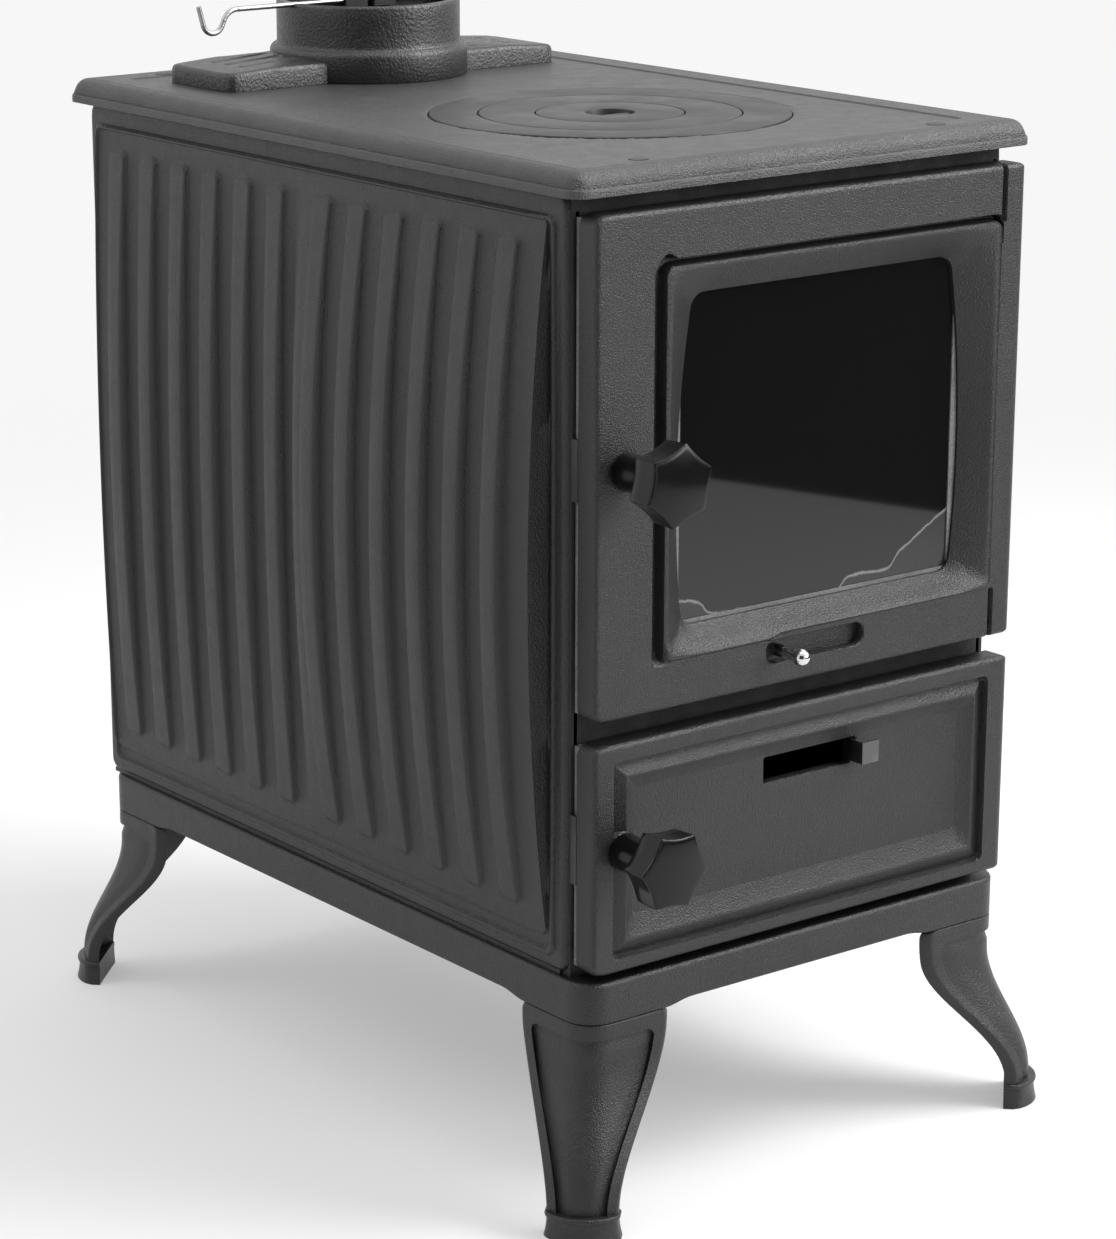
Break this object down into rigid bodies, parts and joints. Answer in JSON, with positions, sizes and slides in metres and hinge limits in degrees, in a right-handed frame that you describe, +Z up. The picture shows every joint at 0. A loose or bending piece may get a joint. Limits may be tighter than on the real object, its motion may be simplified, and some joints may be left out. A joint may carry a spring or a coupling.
{
  "type": "cast iron box stove",
  "caption": "Cast-iron box stove on splayed legs, with a glazed fire door, an ash door, a cooktop with lift-off rings and a flue collar with a wire damper.",
  "frame": {"origin": "on the floor under the middle of the whole stove's box, knobs and feet included", "axes": "+Z up, the doors face -Y, +X to the right seen from the front"},
  "size_m": [0.4172, 0.6438, 0.7661],
  "materials": {
    "iron_body": "matt anthracite stove paint on grey cast iron, fine casting grain",
    "iron_top": "matt anthracite stove paint on machined cast iron",
    "iron_inside": "bare cast iron, sooty",
    "knob_gloss": "gloss black enamel",
    "steel": "bare drawn steel",
    "plated": "zinc plated steel",
    "chrome": "polished chrome plate",
    "rope": "woven glass fibre rope",
    "glass": "heat-proof glass ceramic, dark and glossy",
    "board": null
  },
  "bodies": {
    "stove": {"base_plate": "iron_body", "side_wall_left": "iron_body", "side_wall_right": "iron_body", "back_wall": "iron_body", "front_frame": "iron_body", "top_plate": "iron_top", "flue_collar": "iron_body", "collar_bolts": "plated", "leg_front_left": "iron_body", "leg_front_right": "iron_body", "leg_back_left": "iron_body", "leg_back_right": "iron_body", "leg_bolts": "plated", "top_screws": "iron_top", "wall_bolts": "plated", "hinge_pins": "steel", "fire_keeper": "steel", "ash_keeper": "steel", "grate_bed": "iron_inside", "grate": "iron_inside", "liner_left": "board", "liner_right": "board", "liner_back": "board", "baffle_plate": "iron_inside", "log_guard": "iron_inside", "pan_rails": "iron_inside"},
    "fire_door": {"fire_door": "iron_body", "fire_door_rope": "rope", "door_glass": "glass", "glass_gasket": "rope", "glass_clips": "steel", "clip_screws": "plated", "fire_slide_guides": "steel"},
    "fire_latch": {"fire_knob": "knob_gloss", "fire_spindle": "steel", "fire_tongue": "steel", "fire_tongue_nut": "plated"},
    "fire_air": {"fire_air_slide": "iron_body", "fire_air_pin": "chrome"},
    "ash_door": {"ash_door": "iron_body", "ash_door_rope": "rope", "ash_slide_guides": "steel"},
    "ash_latch": {"ash_knob": "knob_gloss", "ash_spindle": "steel", "ash_tongue": "steel", "ash_tongue_nut": "plated"},
    "ash_air": {"ash_air_slide": "plated"},
    "ash_pan": {"ash_pan": "steel", "ash_pan_handle": "steel"},
    "outer_ring": {"cooktop_outer_ring": "iron_top"},
    "middle_ring": {"cooktop_middle_ring": "iron_top"},
    "lid": {"cooktop_lid": "iron_top"},
    "damper": {"damper_disc": "iron_body", "damper_rod": "steel", "damper_clamp": "iron_body"}
  },
  "joints": [
    {"name": "fire_door_hinge", "type": "hinge", "parent": "stove", "child": "fire_door", "pos_m": [0.16865, -0.2615, 0.327], "axis": [0, 0, 1], "range_deg": [0, 130]},
    {"name": "ash_door_hinge", "type": "hinge", "parent": "stove", "child": "ash_door", "pos_m": [0.16865, -0.2615, 0.164], "axis": [0, 0, 1], "range_deg": [0, 130]},
    {"name": "fire_latch_turn", "type": "hinge", "parent": "fire_door", "child": "fire_latch", "pos_m": [-0.149, -0.26985, 0.481], "axis": [0, 1, 0], "range_deg": [0, 90]},
    {"name": "ash_latch_turn", "type": "hinge", "parent": "ash_door", "child": "ash_latch", "pos_m": [-0.149, -0.26985, 0.243], "axis": [0, 1, 0], "range_deg": [0, 90]},
    {"name": "fire_air_travel", "type": "slide", "parent": "fire_door", "child": "fire_air", "axis": [1, 0, 0], "range_m": [0, 0.06]},
    {"name": "ash_air_travel", "type": "slide", "parent": "ash_door", "child": "ash_air", "axis": [-1, 0, 0], "range_m": [0, 0.072]},
    {"name": "ash_pan_travel", "type": "slide", "parent": "stove", "child": "ash_pan", "axis": [0, -1, 0], "range_m": [0, 0.216]},
    {"name": "outer_ring_lift", "type": "slide", "parent": "stove", "child": "outer_ring", "axis": [0, 0, 1], "range_m": [0, 0.15]},
    {"name": "middle_ring_lift", "type": "slide", "parent": "outer_ring", "child": "middle_ring", "axis": [0, 0, 1], "range_m": [0, 0.12]},
    {"name": "lid_lift", "type": "slide", "parent": "middle_ring", "child": "lid", "axis": [0, 0, 1], "range_m": [0, 0.1]},
    {"name": "damper_turn", "type": "hinge", "parent": "stove", "child": "damper", "pos_m": [0, 0.20275, 0.7111], "axis": [-1, 0, 0], "range_deg": [0, 90]}
  ],
  "couplings": [
    {"joint": "ash_pan_travel", "follows": "ash_door_hinge", "m_per_rad": 0.095}
  ]
}
